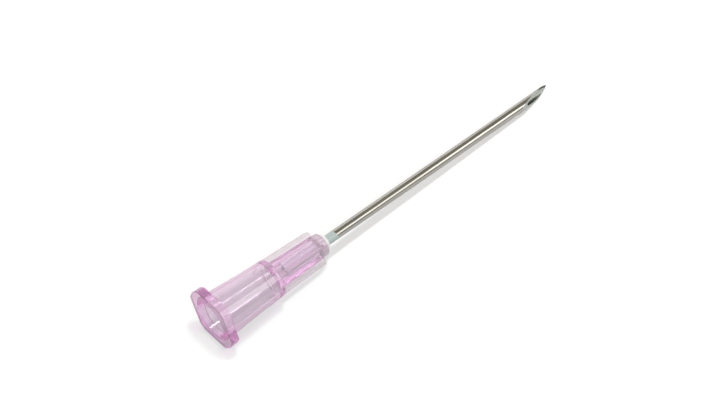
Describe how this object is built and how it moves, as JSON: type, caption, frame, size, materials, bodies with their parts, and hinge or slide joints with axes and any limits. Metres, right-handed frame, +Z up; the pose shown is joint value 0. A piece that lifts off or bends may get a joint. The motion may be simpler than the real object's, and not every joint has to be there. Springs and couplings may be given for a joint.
{
  "type": "hypodermic needle",
  "caption": "Slender steel tube with a ground lancet point, bonded into a clear pink moulded hub that has a conical socket, a lugged flange and thin side wings.",
  "frame": {"origin": "middle of the needle's footprint, on the surface it lies on", "axes": "+Z up from that surface, +X from the hub's open mouth towards the point, with the axis of the needle dipping by about three degrees towards the point"},
  "size_m": [0.0552, 0.0076, 0.0064],
  "materials": {
    "pink_polypropylene": "clear moulded plastic with a pale pink tint",
    "stainless_tube": "drawn and polished stainless steel, ground bevel",
    "cured_adhesive": "cured resin, pale and slightly milky"
  },
  "bodies": {
    "root": {"hub": "pink_polypropylene", "cannula": "stainless_tube", "adhesive": "cured_adhesive"}
  },
  "joints": []
}
